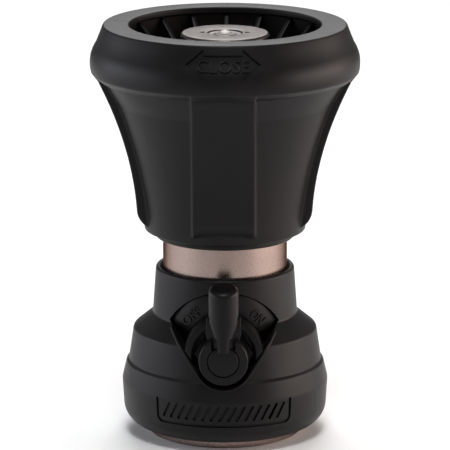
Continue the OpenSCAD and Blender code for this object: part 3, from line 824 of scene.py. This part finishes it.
# ---------------------------------------------------------------------------------------------
# Lever: black nylon, on the square end of the stem. A round thumb bar grows out of the hub,
# swells to a thumb's width, and ends in a rounded tip. A screw holds it, under a push-in cap.
lever_len = 21.5
lever_front = 31.0
lever_back = 22.9
web_back = 25.1
hub_r = 6.9


def on_pivot(obj):
    """Lays a piece that was turned round +Z onto the pivot, facing the front."""
    obj.data.transform(Matrix.Translation((0, 0, pivot_z * MM)) @ Matrix.Rotation(pi / 2, 4, "X"))
    obj.data.update()


hub_bore = 3.1
hub_back = 21.7
hub_front = 30.1
cap_hole = 4.45
cap_seat = 26.7
hub = spun("lever_hub", rounded([
    (hub_bore, hub_back, 0), (hub_r, hub_back, 0.4), (hub_r, hub_front, 0.55),
    (cap_hole, hub_front, 0.2), (cap_hole, cap_seat, 0), (hub_bore, cap_seat, 0)]), nylon, 96)
on_pivot(hub)
for side in (-1, 1):
    notch = [(side * (2.5 + 0.9 * (k in (1, 2))), 3.4 + 4 * (k > 1)) for k in range(4)]
    carve(hub, front_prism("hub_notch", notch, 27.5, 32, nylon))
settle(hub, "lever", "black_nylon", "control_lever")

web_line = [(-4.3, 4.6), (4.3, 4.6), (5.0, 7.6), (4.7, 12.2), (-4.7, 12.2), (-5.0, 7.6)]
web = plate("lever_web", web_line, web_back, 28.0, nylon, 0.35)
settle(web, "lever", "black_nylon")


def bar_half(z):
    """Half the thumb bar's width at a height above the pivot."""
    t = min(max((z - 5.0) / 6.0, 0), 1)
    return 2.3 + 1.9 * (3 * t * t - 2 * t ** 3)


def bar_section(z, inset):
    """The thumb bar's outline at a height, round in front, drawn in near its tip."""
    half = bar_half(z) - inset
    t = min(max((z - 11.9) / 0.9, 0), 1)
    back = web_back + (lever_back - web_back) * t + inset
    ease = 0.5 + (half - 0.6) * t
    front = lever_front - inset
    deep = min(ease * 0.95, front - half - back)
    row = [(half * sin(a), front - half + half * cos(a))
           for a in (radians(-90 + 180 * k / 18) for k in range(19))]
    row += [(half - ease * (1 - cos(a)), back + deep * (1 - sin(a)))
            for a in (radians(90 * k / 7) for k in range(8))]
    row += [(-(half - ease * (1 - sin(a))), back + deep * (1 - cos(a)))
            for a in (radians(90 * k / 7) for k in range(8))]
    fall = tip_fall * min(max((z - lever_len + 9) / 9, 0), 1) / (lever_front - lever_back)
    return [(x, -y, pivot_z + z - fall * (y - lever_back)) for x, y in row]


tip_round = 1.5
tip_fall = 1.9
bar_rows = [bar_section(2.6 + (lever_len - tip_round - 2.6) * k / 34, 0) for k in range(35)]
for k in range(1, 8):
    a = radians(90 * k / 7)
    bar_rows.append(bar_section(lever_len - tip_round * (1 - sin(a)), tip_round * (1 - cos(a))))
bar = solid("thumb_bar", *skin(bar_rows), nylon)
settle(bar, "lever", "black_nylon")

cap_r = 4.25
cap = spun("lever_cap_disc", rounded([
    (0, 27.4, 0), (cap_r, 27.4, 0), (cap_r, 30.35, 0.4), (2, 30.5, 0), (0, 30.55, 0)]), nylon, 96)
on_pivot(cap)
settle(cap, "lever", "black_nylon", "lever_cap")


# ---------------------------------------------------------------------------------------------
# Ball valve: a plated brass ball between two PTFE seats, turned by a brass stem with two
# O-rings. A black acetal gland nut keeps the stem in and clamps the dial.
ptfe = moulded("white PTFE, turned", "#dedcd6", "#e8e7e2", 0.45, 0.4, 0.004)
plated = metal("chromium plated brass", "#cfcfd0", "#c6c6c8", 0.12, 12, 0.4, 0.0004)
brass = metal("turned brass", "#c9a25a", "#bd954f", 0.28, 8, 0.3, 0.002)
for node, material in (("valve_ball", plated), ("lower_ball_seat", ptfe), ("upper_ball_seat", ptfe),
                       ("valve_stem", brass), ("stem_o_rings", nitrile),
                       ("stem_gland_nut", acetal)):
    finish_node(node, material)


# ---------------------------------------------------------------------------------------------
# Spray disc and what carries it: a stainless disc, faced on a lathe, on a stem whose end is
# peened over. The stem stands in a three-armed brass spider, locked by a nut from below.

def turned_steel(name, colour, roughness, feed_mm, depth_mm):
    """Lathe-turned steel: rings as wide as the tool's feed, drawn coarse enough to show."""
    material = bpy.data.materials.new(name)
    material.use_nodes = True
    tree = material.node_tree
    tree.nodes.clear()
    place = add(tree, "ShaderNodeTexCoord").outputs["Object"]
    rings = add(tree, "ShaderNodeTexWave", {
        "Vector": place, "Scale": 2 * pi / (20 * feed_mm * MM), "Distortion": 0.35, "Detail": 2.0,
        "Detail Scale": 1.5}, wave_type="RINGS", rings_direction="Z")
    patches = add(tree, "ShaderNodeTexNoise",
                  {"Vector": place, "Scale": 1 / (2.2 * MM), "Detail": 3.0})
    gloss = add(tree, "ShaderNodeMapRange", {
        "Value": patches.outputs["Fac"], "From Min": 0.3, "From Max": 0.7,
        "To Min": roughness - 0.02, "To Max": roughness + 0.03})
    relief = add(tree, "ShaderNodeBump", {
        "Height": rings.outputs["Fac"], "Strength": 1.0, "Distance": depth_mm * MM})
    shader = add(tree, "ShaderNodeBsdfPrincipled", {
        "Base Color": linear(colour), "Metallic": 1.0, "Roughness": gloss.outputs["Result"],
        "Normal": relief.outputs["Normal"]})
    add(tree, "ShaderNodeOutputMaterial", {"Surface": shader.outputs["BSDF"]})
    return material


stainless = turned_steel("turned stainless steel", "#6d6663", 0.3, 0.7, 0.006)
steel_plain = metal("stainless steel", "#8f8a86", "#837e7a", 0.48, 6, 0.3, 0.002)
disc_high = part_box("spray_disc")[1]
disc_r = disc_high.x / MM
disc_top = disc_high.z / MM
disc = spun("spray_disc_turned", rounded([
    (2.35, disc_top - 7.6, 0), (3.4, disc_top - 7.6, 0.3), (7, disc_top - 2.6, 0),
    (disc_r - 1.2, disc_top - 2.6, 0.2), (disc_r, disc_top - 1.6, 0.3),
    (disc_r, disc_top - 0.6, 0.3), (disc_r - 0.6, disc_top, 0.1), (5.0, disc_top, 0.15),
    (4.6, disc_top - 0.5, 0.3), (3.2, disc_top - 0.55, 0.2), (2.9, disc_top - 0.25, 0.15),
    (2.35, disc_top - 0.25, 0)]),
    stainless, 160)
spanner_r = disc_r / 2
for side in (-1, 1):
    drill = spun("spanner_drill", [(0, disc_top - 1.7), (0.7, disc_top - 1.3), (0.7, disc_top + 1),
                                   (0, disc_top + 1)], stainless, 24)
    drill.data.transform(Matrix.Translation((side * spanner_r * MM, 0, 0)))
    carve(disc, drill)
settle(disc, "body", "turned_stainless", "spray_disc")
for node, material in (("spray_stem", steel_plain), ("stem_lock_nut", steel_plain),
                       ("lever_screw", steel_plain), ("stem_spider", brass),
                       ("thread_collar", brass), ("disc_seal", nitrile)):
    finish_node(node, material)


# ---------------------------------------------------------------------------------------------
# Studio: a pale paper floor, low wide soft boxes at both sides, a large one above and behind,
# a small one high in front, and faint even light from all round. The long lens looks a little
# down on the nozzle.
floor_mesh = bpy.data.meshes.new("floor")
floor_z = -0.2 * MM
floor_mesh.from_pydata([(-4, -4, floor_z), (4, -4, floor_z), (4, 4, floor_z), (-4, 4, floor_z)],
                       [], [(0, 1, 2, 3)])
floor = bpy.data.objects.new("floor", floor_mesh)
bpy.context.scene.collection.objects.link(floor)
paper = bpy.data.materials.new("pale paper sweep")
paper.use_nodes = True
shader = paper.node_tree.nodes["Principled BSDF"]
shader.inputs["Base Color"].default_value = linear("#fbfbfb")
shader.inputs["Roughness"].default_value = 0.9
floor_mesh.materials.append(paper)

world = bpy.data.worlds.new("pale studio")
world.use_nodes = True
sky = world.node_tree.nodes["Background"]
sky.inputs["Color"].default_value = linear("#ffffff")
sky.inputs["Strength"].default_value = 0.15
bpy.context.scene.world = world


def soft_box(name, place, size, power, colour, spread=180, target=(0, 0, 0.06)):
    """A soft box aimed at the nozzle, or at a target; it lights but isn't seen itself."""
    light = bpy.data.lights.new(name, "AREA")
    light.shape = "RECTANGLE"
    light.size, light.size_y = size
    light.energy = power
    light.spread = radians(spread)
    light.color = linear(colour)[:3]
    box = bpy.data.objects.new(name, light)
    box.location = place
    aim = Vector(target) - Vector(place)
    box.rotation_euler = aim.to_track_quat("-Z", "Y").to_euler()
    box.visible_camera = False
    bpy.context.scene.collection.objects.link(box)


soft_box("right_box", (0.75, -0.02, 0.17), (0.9, 0.3), 5.2, "#ffece2")
soft_box("left_box", (-0.75, 0.0, 0.17), (0.9, 0.3), 3.0, "#f2f5ff")
soft_box("top_box", (0.0, 0.5, 0.75), (0.5, 1.0), 7, "#ffffff")
soft_box("front_box", (0.0, -0.3, 0.72), (0.2, 0.2), 0.12, "#ffffff", 40)

camera_data = bpy.data.cameras.new("camera")
camera_data.lens = 275.9
camera_data.sensor_width = 36
camera_data.clip_end = 10
camera = bpy.data.objects.new("camera", camera_data)
camera_side = radians(0.9)
camera.location = (0.95 * sin(camera_side), -0.95 * cos(camera_side), 0.28874)
camera.rotation_euler = (radians(76.42), 0, camera_side)
bpy.context.scene.collection.objects.link(camera)
bpy.context.scene.camera = camera
bpy.context.scene.view_settings.view_transform = "Standard"
